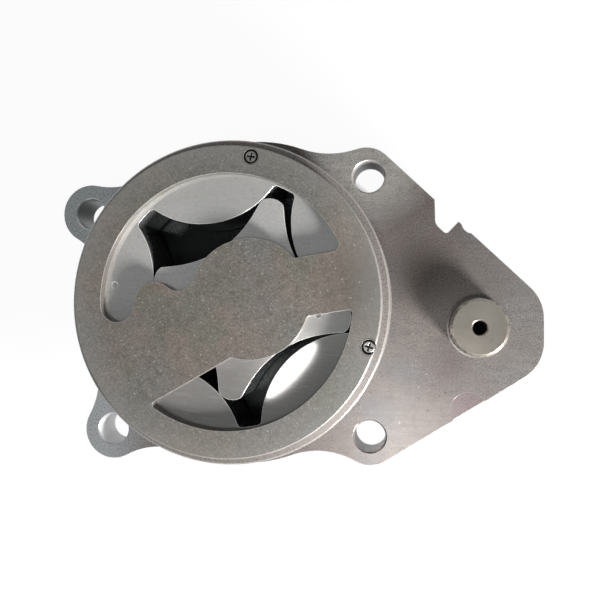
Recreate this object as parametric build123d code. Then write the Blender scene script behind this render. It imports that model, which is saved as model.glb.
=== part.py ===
from build123d import *
import math
import os

# Engine oil pump: a gerotor pump on a flange, driven through a gear.
# A pin beside it carries the engine's idler gear.
# Millimetres. The origin is on the axis of the locating spigot, in the plane of the flange's mounting face.
# +Z leaves the mounting face towards the port plate, +X points towards the idler pin, and the gear is at -Z.

# Gerotor set: the outer ring has one lobe more than the inner rotor
INNER_LOBES = 4
OUTER_LOBES = INNER_LOBES + 1
ROTOR_CENTRE = (1.05, -0.15)
ECCENTRICITY = 5.9
ECCENTRIC_ANGLE = 7.9
LOBE_CENTRE_R = 46.8
UNDERCUT_CLEARANCE = 0.99
POCKET_CLEARANCE = 0.1
POCKET_CORNER_R = 1.2
ROTOR_RIM = 3.5
ROTOR_BORE_CLEARANCE = 0.08
ROTOR_LENGTH = 16.9
ROTOR_END_CLEARANCE = 0.05
LOBE_TIP_CLEARANCE = 0.1
INNER_ROTOR_ANGLE = 77.4
PROFILE_ARCS = 64
PUNCH_MARK_D = 1.8
PUNCH_MARK_DEPTH = 0.3
OUTER_MARK_FROM_POCKET = 0.8
INNER_MARK_FROM_TIP = 9.3

# Housing: flange, locating spigot and rotor bore
PLATE_LAP = 4.67
SPIGOT_SHOULDER = 2.15
SPIGOT_FOOT = 2.6
SPIGOT_LENGTH = 14.5
FLANGE_THICKNESS = 12.0
SEAT_STEP = 0.8
BALANCE_PORT_DEPTH = 1.5
MACHINED_CHAMFER = 0.4

# Bolts: a through hole and a round ear each, at an angle around the spigot and a distance beyond it
BOLT_HOLE_D = 9.0
UPPER_LEFT_ANGLE = 149.5
UPPER_LEFT_REACH = 8.55
LOWER_LEFT_ANGLE = 224.7
LOWER_LEFT_REACH = 9.35
UPPER_RIGHT_ANGLE = 43.4
UPPER_RIGHT_REACH = 8.0
LOWER_RIGHT_ANGLE = -45.0
LOWER_RIGHT_REACH = 9.75
LEFT_EAR_WALL = 4.2
RIGHT_EAR_WALL = 3.8
UPPER_RIGHT_EAR_SHIFT = 0.86
UPPER_RIGHT_EAR_SHIFT_ANGLE = 166.0
FOOT_PAD_SHIFT = 10.0
FOOT_PAD_ANGLE = 60.0
FOOT_PAD_PROUD = 1.5
EAR_BLEND_R = 22.0
TIGHT_BLEND_R = 8.0
PAD_BLEND_R = 25.0

# Flange plate around the idler pin
CORNER_R = 12.0
CORNER_BESIDE_PIN = 6.0
CORNER_ABOVE_PIN = 2.6
CORNER_BELOW_PIN = 3.9
NOTCH_START = 19.05
NOTCH_LENGTH = 9.1
NOTCH_DEPTH = 4.9
NOTCH_INNER_R = 3.0
NOTCH_CORNER_R = 0.9
SCALLOP_FROM_NOTCH = 3.1
SCALLOP_R = 3.0
SCALLOP_DEPTH = 0.6
SPOT_FACE_R = 5.2
SPOT_FACE_DEPTH = 1.5
SPOT_FACE_FROM_EAR = 27.5

# Port plate
PLATE_THICKNESS = 2.8
PLATE_CHAMFER = 0.3
PORT_PAST_POCKET = 0.7
HUB_PAST_VALLEY = 0.1
UPPER_EDGE_HUB_ANGLE = 41.5
UPPER_EDGE_ANGLE = 9.0
LOWER_LEFT_HUB_ANGLE = 253.0
LOWER_LEFT_EDGE_ANGLE = 209.6
LOWER_RIGHT_HUB_ANGLE = -16.0
LOWER_RIGHT_EDGE_ANGLE = 8.4
TAIL_R = 4.7
TAIL_ANGLE = 181.7
TONGUE_R = 5.8
TONGUE_CLEAR_OF_TAIL = 0.2
TONGUE_ANGLE = 2.0
TONGUE_VALLEY_R = 4.5
WIDE_PORT_CORNER_R = 2.0
PORT_CORNER_R = 1.0

# Port plate screws
SCREW_D = 2.5
SCREW_HEAD_D = 3.5
SCREW_HEAD_HEIGHT = 1.5
SCREW_LENGTH = 9.0
SCREW_FROM_BORE = 2.0
SCREW_UPPER_ANGLE = 80.8
SCREW_SIDE_ANGLE = -17.3
SCREW_HEAD_CLEARANCE = 0.25
SCREW_HEAD_BELOW_FACE = 0.2
SCREW_HOLE_CLEARANCE = 0.1
DRIVE_RECESS_LENGTH = 2.3
DRIVE_RECESS_WIDTH = 0.55
DRIVE_RECESS_DEPTH = 0.9

# Drive shaft and its two bushes
SHAFT_D = 16.0
SHAFT_BELOW_PLATE = 0.3
BUSH_WALL = 2.0
RUNNING_CLEARANCE = 0.04
FIT_CLEARANCE = 0.02
BUSH_BELOW_FACE = 0.3
BUSH_OIL_GAP = 2.0
DRIVE_BOSS_WALL = 4.5
BOSS_HEIGHT = 8.0
BOSS_FOOT_R = 2.0
KEY_WIDTH = 5.0
KEY_HEIGHT = 5.0
KEY_IN_SHAFT = 3.0
KEY_TOP_CLEARANCE = 0.15
ROTOR_KEY_LENGTH = 12.0
GEAR_KEY_LENGTH = 6.0

# Drive gear, and the idler gear that it is to mesh with
GEAR_MODULE = 2.0
DRIVE_TEETH = 36
IDLER_TEETH = 26
PRESSURE_ANGLE = 20.0
BACKLASH = 0.16
ROOT_CLEARANCE = 0.25
GEAR_WIDTH = 12.0
GEAR_RECESS = 4.4
GEAR_HUB_WALL = 5.5
GEAR_RIM = 4.0
GEAR_WEB_THICKNESS = 5.0
WEB_HOLES = 5
WEB_HOLE_D = 9.0

# Idler pin, washers and retaining ring
PIN_D = 16.1
PIN_PROUD = 6.4
PIN_SEAT_STEP = 0.3
PIN_JOURNAL_STEP = 0.3
PIN_LEAD_STEP = 0.2
PIN_CHAMFER = 0.8
PIN_OIL_HOLE_D = 3.9
PIN_CROSS_HOLE_D = 3.0
IDLER_ANGLE = -7.2
IDLER_BOSS_WALL = 3.95
WASHER_THICKNESS = 1.5
WASHER_WALL = 3.8
END_FLOAT = 0.1
RING_THICKNESS = 1.2
RING_WALL = 1.6
GROOVE_DEPTH = 0.5
GROOVE_CLEARANCE = 0.03
RING_GAP_ANGLE = 50.0


def polar(radius, angle, centre=(0.0, 0.0)):
    turn = math.radians(angle)
    return (centre[0] + radius * math.cos(turn), centre[1] + radius * math.sin(turn))


def bearing(start, end):
    return math.degrees(math.atan2(end[1] - start[1], end[0] - start[0]))


def tightest_bend(centre_r, eccentricity, lobes):
    """Smallest bend radius of the path that the centre of a ring lobe draws around the inner rotor."""
    swing = lobes * eccentricity
    turn = ((lobes - 2) * centre_r**2 - (2 * lobes - 1) * swing**2) / ((lobes + 1) * centre_r * swing)
    turn = max(-1.0, min(1.0, turn))
    speed = centre_r**2 + swing**2 + 2 * centre_r * swing * turn
    curl = centre_r**2 + lobes * swing**2 + (lobes + 1) * centre_r * swing * turn
    return speed**1.5 / curl


# Worked out from the driving dimensions. A rounder lobe than LOBE_R would undercut the inner rotor
LOBE_R = tightest_bend(LOBE_CENTRE_R, ECCENTRICITY, OUTER_LOBES) - UNDERCUT_CLEARANCE
OUTER_TIP_R = LOBE_CENTRE_R - LOBE_R
INNER_TIP_R = OUTER_TIP_R + ECCENTRICITY
INNER_VALLEY_R = OUTER_TIP_R - ECCENTRICITY
POCKET_R = INNER_TIP_R + ECCENTRICITY + POCKET_CLEARANCE
OUTER_ROTOR_R = POCKET_R + ROTOR_RIM
BORE_R = OUTER_ROTOR_R + ROTOR_BORE_CLEARANCE
PLATE_R = BORE_R + PLATE_LAP
SPIGOT_R = PLATE_R + SPIGOT_SHOULDER
SPIGOT_FOOT_R = SPIGOT_R + SPIGOT_FOOT
PORT_R = POCKET_R + PORT_PAST_POCKET
HUB_R = INNER_VALLEY_R + HUB_PAST_VALLEY
BOLT_HOLE_R = BOLT_HOLE_D / 2
LEFT_EAR_R = BOLT_HOLE_R + LEFT_EAR_WALL
RIGHT_EAR_R = BOLT_HOLE_R + RIGHT_EAR_WALL
BOLT_UPPER_LEFT = polar(SPIGOT_R + UPPER_LEFT_REACH, UPPER_LEFT_ANGLE)
BOLT_LOWER_LEFT = polar(SPIGOT_R + LOWER_LEFT_REACH, LOWER_LEFT_ANGLE)
BOLT_UPPER_RIGHT = polar(SPIGOT_R + UPPER_RIGHT_REACH, UPPER_RIGHT_ANGLE)
BOLT_LOWER_RIGHT = polar(SPIGOT_R + LOWER_RIGHT_REACH, LOWER_RIGHT_ANGLE)
EAR_UPPER_RIGHT = polar(UPPER_RIGHT_EAR_SHIFT, UPPER_RIGHT_EAR_SHIFT_ANGLE, BOLT_UPPER_RIGHT)
FOOT_PAD = polar(FOOT_PAD_SHIFT, FOOT_PAD_ANGLE)
FOOT_PAD_R = SPIGOT_FOOT_R + FOOT_PAD_PROUD - FOOT_PAD_SHIFT
SEAT_Z = SPIGOT_LENGTH + SEAT_STEP
PLATE_TOP_Z = SEAT_Z + PLATE_THICKNESS
ROTOR_TOP_Z = SEAT_Z - ROTOR_END_CLEARANCE
ROTOR_Z = ROTOR_TOP_Z - ROTOR_LENGTH
ROTOR_FLOOR_Z = ROTOR_Z - ROTOR_END_CLEARANCE
FLANGE_FRONT_Z = -FLANGE_THICKNESS
BOSS_Z = FLANGE_FRONT_Z - BOSS_HEIGHT
WASHER_Z = BOSS_Z - WASHER_THICKNESS
GEAR_TOP_Z = WASHER_Z - END_FLOAT
GEAR_FACE_Z = GEAR_TOP_Z - GEAR_WIDTH
HUB_FACE_Z = GEAR_FACE_Z + GEAR_RECESS
OUTER_WASHER_Z = HUB_FACE_Z - WASHER_THICKNESS
RING_Z = OUTER_WASHER_Z - GROOVE_CLEARANCE - RING_THICKNESS
SHAFT_END_Z = RING_Z - RING_THICKNESS
DRIVE_AXIS = polar(ECCENTRICITY, ECCENTRIC_ANGLE, ROTOR_CENTRE)
PIN_AXIS = polar(GEAR_MODULE * (DRIVE_TEETH + IDLER_TEETH) / 2, IDLER_ANGLE, DRIVE_AXIS)
OUTER_ROTOR_ANGLE = (INNER_LOBES * INNER_ROTOR_ANGLE + ECCENTRIC_ANGLE + 180.0) / OUTER_LOBES
SCREW_UPPER = polar(BORE_R + SCREW_FROM_BORE, SCREW_UPPER_ANGLE, ROTOR_CENTRE)
SCREW_SIDE = polar(BORE_R + SCREW_FROM_BORE, SCREW_SIDE_ANGLE, ROTOR_CENTRE)
SCREW_HEAD_Z = PLATE_TOP_Z - SCREW_HEAD_BELOW_FACE - SCREW_HEAD_HEIGHT
UPPER_CORNER = (PIN_AXIS[0] + CORNER_BESIDE_PIN, PIN_AXIS[1] + CORNER_ABOVE_PIN)
LOWER_CORNER = (PIN_AXIS[0] + CORNER_BESIDE_PIN, PIN_AXIS[1] - CORNER_BELOW_PIN)
SHAFT_R = SHAFT_D / 2
BUSH_R = SHAFT_R + BUSH_WALL
BUSH_LENGTH = (ROTOR_FLOOR_Z - BUSH_BELOW_FACE - BOSS_Z - BUSH_OIL_GAP) / 2
GEAR_HUB_R = SHAFT_R + GEAR_HUB_WALL
PIN_R = PIN_D / 2
PIN_SEAT_R = PIN_R + PIN_SEAT_STEP
JOURNAL_R = PIN_R - PIN_JOURNAL_STEP
PAST = 1.0
FAR = 2 * PLATE_R
STANDING = (Align.CENTER, Align.CENTER, Align.MIN)
HANGING = (Align.CENTER, Align.CENTER, Align.MAX)


def disc(centre, radius):
    return Pos(*centre) * Circle(radius)


def post(centre, radius, bottom, top):
    return Pos(centre[0], centre[1], bottom) * Cylinder(radius, top - bottom, align=STANDING)


def slab(outline, bottom, top):
    return Pos(0, 0, bottom) * extrude(outline, amount=top - bottom, dir=(0, 0, 1))


def ring(centre, inner, outer, bottom, top):
    return post(centre, outer, bottom, top) - post(centre, inner, bottom - PAST, top + PAST)


def turned(centre, angle):
    return Pos(*centre) * Rot(0, 0, angle)


def blend_centre(first, first_r, second, second_r, blend_r, side):
    """Centre of the circle that touches two discs from outside, on one side of their centre line."""
    apart = math.dist(first, second)
    near = first_r + blend_r
    far = second_r + blend_r
    turn = math.degrees(math.acos((near**2 + apart**2 - far**2) / (2 * near * apart)))
    return polar(near, bearing(first, second) + side * turn, first)


def blend(first, first_r, second, second_r, blend_r, side):
    """The web that joins two discs with a hollow corner of the given radius."""
    centre = blend_centre(first, first_r, second, second_r, blend_r, side)
    return Polygon(first, second, centre, align=None) - disc(centre, blend_r)


def outer_tangent(first, first_r, second, second_r, side):
    """The two points where a straight edge touches two discs, on one side of their centre line."""
    lean = math.degrees(math.asin((first_r - second_r) / math.dist(first, second)))
    normal = bearing(first, second) + side * (90.0 - lean)
    return polar(first_r, normal, first), polar(second_r, normal, second)


def along(start, end, distance, inward, side):
    """A point at a distance along an edge from its start, and a depth inside it."""
    direction = bearing(start, end)
    return polar(inward, direction - side * 90.0, polar(distance, direction, start))


# Housing

def flange_outline():
    """Round foot of the spigot, four ears with hollow webs, and the plate that carries the idler pin."""
    foot = ((0.0, 0.0), SPIGOT_FOOT_R)
    pad = (FOOT_PAD, FOOT_PAD_R)
    outline = disc(*foot) + disc(*pad)
    ears = (
        (foot, BOLT_UPPER_LEFT, LEFT_EAR_R, EAR_BLEND_R, TIGHT_BLEND_R),
        (foot, BOLT_LOWER_LEFT, LEFT_EAR_R, EAR_BLEND_R, EAR_BLEND_R),
        (foot, BOLT_LOWER_RIGHT, RIGHT_EAR_R, EAR_BLEND_R, None),
        (pad, EAR_UPPER_RIGHT, RIGHT_EAR_R, None, PAD_BLEND_R),
    )
    for root, centre, ear_r, clockwise_r, counter_r in ears:
        outline += disc(centre, ear_r)
        if clockwise_r:
            outline += blend(*root, centre, ear_r, clockwise_r, -1)
        if counter_r:
            outline += blend(*root, centre, ear_r, counter_r, 1)
    return outline + pin_plate() - notch() - scallop()


def pin_plate():
    """The flat part of the flange between the two right ears and the corners beside the idler pin."""
    corners = (
        (BOLT_LOWER_RIGHT, RIGHT_EAR_R),
        (LOWER_CORNER, CORNER_R),
        (UPPER_CORNER, CORNER_R),
        (EAR_UPPER_RIGHT, RIGHT_EAR_R),
    )
    plate = Polygon((0.0, 0.0), *[centre for centre, radius in corners], align=None)
    for (first, first_r), (second, second_r) in zip(corners, corners[1:]):
        touch_first, touch_second = outer_tangent(first, first_r, second, second_r, -1)
        plate += Polygon(first, touch_first, touch_second, second, align=None)
        plate += disc(first, first_r) + disc(second, second_r)
    return plate


def upper_edge():
    return outer_tangent(EAR_UPPER_RIGHT, RIGHT_EAR_R, UPPER_CORNER, CORNER_R, 1)


def lower_edge():
    return outer_tangent(BOLT_LOWER_RIGHT, RIGHT_EAR_R, LOWER_CORNER, CORNER_R, -1)


def notch():
    """Locating notch in the upper edge: a slanted wall, a rounded floor and a square wall."""
    edge = upper_edge()
    end = NOTCH_START + NOTCH_LENGTH
    corners = [
        along(*edge, NOTCH_START - NOTCH_DEPTH, -NOTCH_DEPTH, 1),
        along(*edge, NOTCH_START + NOTCH_DEPTH, NOTCH_DEPTH, 1),
        along(*edge, end, NOTCH_DEPTH, 1),
        along(*edge, end, -NOTCH_DEPTH, 1),
    ]
    shape = Polygon(*corners, align=None)
    shape = fillet(nearest(shape, corners[1]), NOTCH_INNER_R)
    return fillet(nearest(shape, corners[2]), NOTCH_CORNER_R)


def nearest(shape, point):
    return shape.vertices().sort_by_distance((point[0], point[1], 0))[0]


def scallop():
    distance = NOTCH_START + NOTCH_LENGTH + SCALLOP_FROM_NOTCH
    return disc(along(*upper_edge(), distance, SCALLOP_DEPTH - SCALLOP_R, 1), SCALLOP_R)


def pump_housing():
    body = slab(flange_outline(), FLANGE_FRONT_Z, 0)
    body += post((0, 0), SPIGOT_R, 0, SPIGOT_LENGTH)
    body += post((0, 0), PLATE_R, SPIGOT_LENGTH, SEAT_Z)
    body += boss(DRIVE_AXIS, BUSH_R + DRIVE_BOSS_WALL)
    body += boss(PIN_AXIS, PIN_SEAT_R + IDLER_BOSS_WALL)
    round_edges = body.edges().filter_by(GeomType.CIRCLE)
    shoulder = round_edges.filter_by_position(Axis.Z, SPIGOT_LENGTH, SPIGOT_LENGTH)
    body = chamfer(shoulder.sort_by(SortBy.RADIUS)[-1], MACHINED_CHAMFER)
    body -= post(ROTOR_CENTRE, BORE_R, ROTOR_FLOOR_Z, SEAT_Z + PAST)
    balance_ports = slab(upper_port() + lower_port(), ROTOR_FLOOR_Z - BALANCE_PORT_DEPTH, ROTOR_FLOOR_Z)
    body -= balance_ports & post(ROTOR_CENTRE, POCKET_R, BOSS_Z, 0)
    body -= post(DRIVE_AXIS, BUSH_R, BOSS_Z - PAST, ROTOR_FLOOR_Z + PAST)
    body -= post(PIN_AXIS, PIN_SEAT_R, BOSS_Z - PAST, PAST)
    for centre in (BOLT_UPPER_LEFT, BOLT_LOWER_LEFT, BOLT_UPPER_RIGHT, BOLT_LOWER_RIGHT):
        body -= post(centre, BOLT_HOLE_R, FLANGE_FRONT_Z - PAST, PAST)
        body -= countersink(centre, BOLT_HOLE_R, MACHINED_CHAMFER, 0)
    for centre in (SCREW_UPPER, SCREW_SIDE):
        depth = SCREW_LENGTH + SCREW_HOLE_CLEARANCE
        body -= post(centre, SCREW_D / 2, SEAT_Z - depth, SEAT_Z + PAST)
    spot_centre = along(*lower_edge(), SPOT_FACE_FROM_EAR, 0, -1)
    body -= post(spot_centre, SPOT_FACE_R, -SPOT_FACE_DEPTH, PAST)
    return body


def boss(centre, radius):
    """Round boss on the flange's front face, with a sloped foot and a chamfered end."""
    foot = Cone(radius, radius + BOSS_FOOT_R, BOSS_FOOT_R, align=HANGING)
    stem = post(centre, radius, BOSS_Z, FLANGE_FRONT_Z)
    stem = chamfer(stem.edges().group_by(Axis.Z)[0], MACHINED_CHAMFER)
    return stem + Pos(centre[0], centre[1], FLANGE_FRONT_Z) * foot


def countersink(centre, radius, size, top):
    return Pos(centre[0], centre[1], top) * Cone(radius, radius + size, size, align=HANGING)


# Port plate

def hub_edge(hub_angle, edge_angle):
    """Where a port's straight edge leaves the hub's circle, and a point of it past the plate's rim."""
    start = polar(HUB_R, hub_angle, DRIVE_AXIS)
    return start, polar(FAR, edge_angle, start)


def upper_port():
    """Crescent port with a round tail, a tongue of the plate between the tail and the hub."""
    tail = polar(PORT_R - TAIL_R, TAIL_ANGLE)
    tongue = polar(TAIL_R + TONGUE_R + TONGUE_CLEAR_OF_TAIL, TONGUE_ANGLE, tail)
    start, past_rim = hub_edge(UPPER_EDGE_HUB_ANGLE, UPPER_EDGE_ANGLE)
    mask = Polygon(
        tail, tongue, DRIVE_AXIS, start, past_rim,
        (FAR, FAR), (-FAR, FAR), polar(FAR, TAIL_ANGLE), align=None,
    )
    port = disc((0, 0), PORT_R) & mask
    port -= disc(DRIVE_AXIS, HUB_R)
    port -= disc(tongue, TONGUE_R)
    port -= blend(DRIVE_AXIS, HUB_R, tongue, TONGUE_R, TONGUE_VALLEY_R, -1)
    port += disc(tail, TAIL_R)
    port = fillet(nearest(port, start), PORT_CORNER_R)
    return fillet(nearest(port, rim_meeting(start, UPPER_EDGE_ANGLE)), WIDE_PORT_CORNER_R)


def lower_port():
    """Port between two straight edges and the hub."""
    left, left_past = hub_edge(LOWER_LEFT_HUB_ANGLE, LOWER_LEFT_EDGE_ANGLE)
    right, right_past = hub_edge(LOWER_RIGHT_HUB_ANGLE, LOWER_RIGHT_EDGE_ANGLE)
    mask = Polygon(left, DRIVE_AXIS, right, right_past, (0, -2 * FAR), left_past, align=None)
    port = (disc((0, 0), PORT_R) & mask) - disc(DRIVE_AXIS, HUB_R)
    corners = [
        left,
        right,
        rim_meeting(left, LOWER_LEFT_EDGE_ANGLE),
        rim_meeting(right, LOWER_RIGHT_EDGE_ANGLE),
    ]
    for corner in corners:
        port = fillet(nearest(port, corner), PORT_CORNER_R)
    return port


def rim_meeting(start, angle):
    """Where a port's straight edge meets the port's outer arc."""
    step = polar(1.0, angle)
    forward = start[0] * step[0] + start[1] * step[1]
    offset = start[0] * step[1] - start[1] * step[0]
    reach = math.sqrt(PORT_R**2 - offset**2) - forward
    return polar(reach, angle, start)


def port_plate():
    plate = post((0, 0), PLATE_R, SEAT_Z, PLATE_TOP_Z)
    plate = chamfer(plate.edges().group_by(Axis.Z)[-1], PLATE_CHAMFER)
    plate -= slab(upper_port() + lower_port(), SEAT_Z - PAST, PLATE_TOP_Z + PAST)
    for centre in (SCREW_UPPER, SCREW_SIDE):
        plate -= post(centre, SCREW_D / 2 + SCREW_HOLE_CLEARANCE, SEAT_Z - PAST, PLATE_TOP_Z + PAST)
        plate -= post(centre, SCREW_HEAD_D / 2 + SCREW_HEAD_CLEARANCE, SCREW_HEAD_Z, PLATE_TOP_Z + PAST)
    return plate


def port_plate_screw(centre):
    """Small cross-recess screw, its head seated in the plate's counterbore."""
    head_top = SCREW_HEAD_Z + SCREW_HEAD_HEIGHT
    screw = post((0, 0), SCREW_HEAD_D / 2, SCREW_HEAD_Z, head_top)
    screw = chamfer(screw.edges().group_by(Axis.Z)[-1], MACHINED_CHAMFER)
    screw += post((0, 0), SCREW_D / 2 - FIT_CLEARANCE, SEAT_Z - SCREW_LENGTH, SCREW_HEAD_Z)
    slot = Rectangle(DRIVE_RECESS_LENGTH, DRIVE_RECESS_WIDTH)
    cross = slot + Rot(0, 0, 90) * slot
    screw -= slab(cross, head_top - DRIVE_RECESS_DEPTH, head_top + PAST)
    return turned(centre, bearing((0, 0), centre)) * screw


# Gerotor set

def outer_rotor():
    """Ring with round lobes, flat-bottomed pockets between them and a punch mark on its face."""
    cavity = Circle(POCKET_R)
    for lobe in range(OUTER_LOBES):
        cavity -= disc(polar(LOBE_CENTRE_R, 360.0 * lobe / OUTER_LOBES), LOBE_R)
    pocket_corners = cavity.vertices().filter_by(lambda v: math.hypot(v.X, v.Y) > POCKET_R - PAST)
    cavity = fillet(pocket_corners, POCKET_CORNER_R)
    rotor = slab(Circle(OUTER_ROTOR_R) - cavity, ROTOR_Z, ROTOR_TOP_Z)
    bore_edges = rotor.edges().filter_by(GeomType.CIRCLE)
    rotor = chamfer(bore_edges.filter_by(lambda e: e.radius > POCKET_R + ROTOR_RIM / 2), MACHINED_CHAMFER)
    mark = polar(POCKET_R - OUTER_MARK_FROM_POCKET, 360.0 / OUTER_LOBES)
    rotor -= post(mark, PUNCH_MARK_D / 2, ROTOR_TOP_Z - PUNCH_MARK_DEPTH, ROTOR_TOP_Z + PAST)
    return turned(ROTOR_CENTRE, OUTER_ROTOR_ANGLE) * rotor


def inner_rotor_point(turn):
    """Point of the inner profile: a lobe centre's path, moved in by the lobe's radius and the clearance."""
    path_x = LOBE_CENTRE_R * math.cos(turn) + ECCENTRICITY * math.cos(OUTER_LOBES * turn)
    path_y = LOBE_CENTRE_R * math.sin(turn) + ECCENTRICITY * math.sin(OUTER_LOBES * turn)
    slope_x = -LOBE_CENTRE_R * math.sin(turn) - OUTER_LOBES * ECCENTRICITY * math.sin(OUTER_LOBES * turn)
    slope_y = LOBE_CENTRE_R * math.cos(turn) + OUTER_LOBES * ECCENTRICITY * math.cos(OUTER_LOBES * turn)
    inward = (LOBE_R + LOBE_TIP_CLEARANCE) / math.hypot(slope_x, slope_y)
    return (path_x - inward * slope_y, path_y + inward * slope_x)


def inner_rotor():
    """Four-lobed rotor that rolls inside the outer ring, with a bore and a keyway for the shaft."""
    step = 2 * math.pi / PROFILE_ARCS
    arcs = []
    for arc in range(PROFILE_ARCS):
        arcs.append(ThreePointArc(*[inner_rotor_point(step * (arc + part)) for part in (0, 0.5, 1)]))
    rotor = slab(make_face(Wire(arcs)), ROTOR_Z, ROTOR_TOP_Z)
    rotor -= post((0, 0), SHAFT_R + FIT_CLEARANCE, ROTOR_Z - PAST, ROTOR_TOP_Z + PAST)
    rotor -= hub_keyway(ROTOR_Z - PAST, ROTOR_TOP_Z + PAST)
    mark = polar(INNER_TIP_R - INNER_MARK_FROM_TIP, -360.0 / INNER_LOBES)
    rotor -= post(mark, PUNCH_MARK_D / 2, ROTOR_TOP_Z - PUNCH_MARK_DEPTH, ROTOR_TOP_Z + PAST)
    return turned(DRIVE_AXIS, INNER_ROTOR_ANGLE) * rotor


# Drive shaft, keys and bush

def key_block(bottom, top, clearance):
    """A key's space beside the shaft's axis, larger than the key by a clearance on each side."""
    floor = SHAFT_R - KEY_IN_SHAFT
    width = KEY_WIDTH + 2 * clearance
    outline = Pos(floor + KEY_HEIGHT / 2, 0) * Rectangle(KEY_HEIGHT, width)
    return slab(outline, bottom - clearance, top + clearance)


def hub_keyway(bottom, top):
    width = KEY_WIDTH + 2 * FIT_CLEARANCE
    length = SHAFT_R - KEY_IN_SHAFT + KEY_HEIGHT + KEY_TOP_CLEARANCE
    return slab(Pos(length / 2, 0) * Rectangle(length, width), bottom, top)


def rotor_key_span():
    middle = (ROTOR_Z + ROTOR_TOP_Z) / 2
    return middle - ROTOR_KEY_LENGTH / 2, middle + ROTOR_KEY_LENGTH / 2


def gear_key_span():
    middle = (HUB_FACE_Z + GEAR_TOP_Z) / 2
    return middle - GEAR_KEY_LENGTH / 2, middle + GEAR_KEY_LENGTH / 2


def drive_shaft():
    shaft = post((0, 0), SHAFT_R, SHAFT_END_Z, SEAT_Z - SHAFT_BELOW_PLATE)
    shaft = chamfer(shaft.edges().filter_by(GeomType.CIRCLE), PIN_CHAMFER)
    shaft -= key_block(*rotor_key_span(), FIT_CLEARANCE)
    shaft -= key_block(*gear_key_span(), FIT_CLEARANCE)
    shaft -= groove((0, 0), SHAFT_R)
    return turned(DRIVE_AXIS, INNER_ROTOR_ANGLE) * shaft


def key(span):
    return turned(DRIVE_AXIS, INNER_ROTOR_ANGLE) * key_block(*span, 0)


def drive_bush(bottom):
    return ring(DRIVE_AXIS, SHAFT_R + RUNNING_CLEARANCE, BUSH_R, bottom, bottom + BUSH_LENGTH)


# Gears

def involute(angle):
    return math.tan(angle) - angle


def gear_outline():
    """Involute spur gear with a tooth on +X, each flank an arc through three points of the involute."""
    teeth = DRIVE_TEETH
    pitch_r = GEAR_MODULE * teeth / 2
    base_r = pitch_r * math.cos(math.radians(PRESSURE_ANGLE))
    root_r = pitch_r - GEAR_MODULE * (1 + ROOT_CLEARANCE)
    tip_r = pitch_r + GEAR_MODULE
    flank_r = max(root_r, base_r)
    half_tooth = math.pi / (2 * teeth) - BACKLASH / (4 * pitch_r) + involute(math.radians(PRESSURE_ANGLE))

    def flank(radius):
        return math.degrees(half_tooth - involute(math.acos(base_r / radius)))

    middle_r = (flank_r + tip_r) / 2
    step = 360.0 / teeth
    edges = []
    for tooth in range(teeth):
        centre = tooth * step
        foot = flank(flank_r)
        tip = flank(tip_r)
        gap_end = centre + step - foot
        rising = [(flank_r, -foot), (middle_r, -flank(middle_r)), (tip_r, -tip)]
        falling = [(tip_r, tip), (middle_r, flank(middle_r)), (flank_r, foot)]
        edges.append(ThreePointArc(*[polar(radius, centre + angle) for radius, angle in rising]))
        edges.append(ThreePointArc(*[polar(tip_r, centre + angle) for angle in (-tip, 0, tip)]))
        edges.append(ThreePointArc(*[polar(radius, centre + angle) for radius, angle in falling]))
        edges += root_edges(centre + foot, gap_end, flank_r, root_r)
    return make_face(Wire(edges))


def root_edges(start, end, flank_r, root_r):
    """The floor of a gap, with short radial walls where the root lies inside the base circle."""
    floor = ThreePointArc(polar(root_r, start), polar(root_r, (start + end) / 2), polar(root_r, end))
    if flank_r - root_r < FIT_CLEARANCE:
        return [floor]
    into = Line(polar(flank_r, start), polar(root_r, start))
    out = Line(polar(root_r, end), polar(flank_r, end))
    return [into, floor, out]


def drive_gear():
    """Gear with a thin web, round holes in it, and a hub that is set back from the rim's outer face."""
    rim_r = GEAR_MODULE * (DRIVE_TEETH / 2 - 1 - ROOT_CLEARANCE) - GEAR_RIM
    outline = Rot(0, 0, IDLER_ANGLE - INNER_ROTOR_ANGLE) * gear_outline()
    gear = slab(outline, GEAR_FACE_Z, GEAR_TOP_Z)
    gear -= post((0, 0), rim_r, GEAR_FACE_Z - PAST, HUB_FACE_Z)
    gear -= ring((0, 0), GEAR_HUB_R, rim_r, HUB_FACE_Z - PAST, GEAR_TOP_Z - GEAR_WEB_THICKNESS)
    gear -= post((0, 0), SHAFT_R + FIT_CLEARANCE, GEAR_FACE_Z - PAST, GEAR_TOP_Z + PAST)
    gear -= hub_keyway(GEAR_FACE_Z - PAST, GEAR_TOP_Z + PAST)
    for hole in range(WEB_HOLES):
        centre = polar((GEAR_HUB_R + rim_r) / 2, 360.0 * (hole + 0.5) / WEB_HOLES)
        gear -= post(centre, WEB_HOLE_D / 2, GEAR_FACE_Z - PAST, GEAR_TOP_Z + PAST)
    return turned(DRIVE_AXIS, INNER_ROTOR_ANGLE) * gear


# Idler pin, washers and retaining ring

def groove(centre, radius):
    """Groove for a retaining ring, a little wider than the ring."""
    bottom = RING_Z - GROOVE_CLEARANCE
    top = RING_Z + RING_THICKNESS + GROOVE_CLEARANCE
    return ring(centre, radius - GROOVE_DEPTH, radius + PAST, bottom, top)


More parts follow.
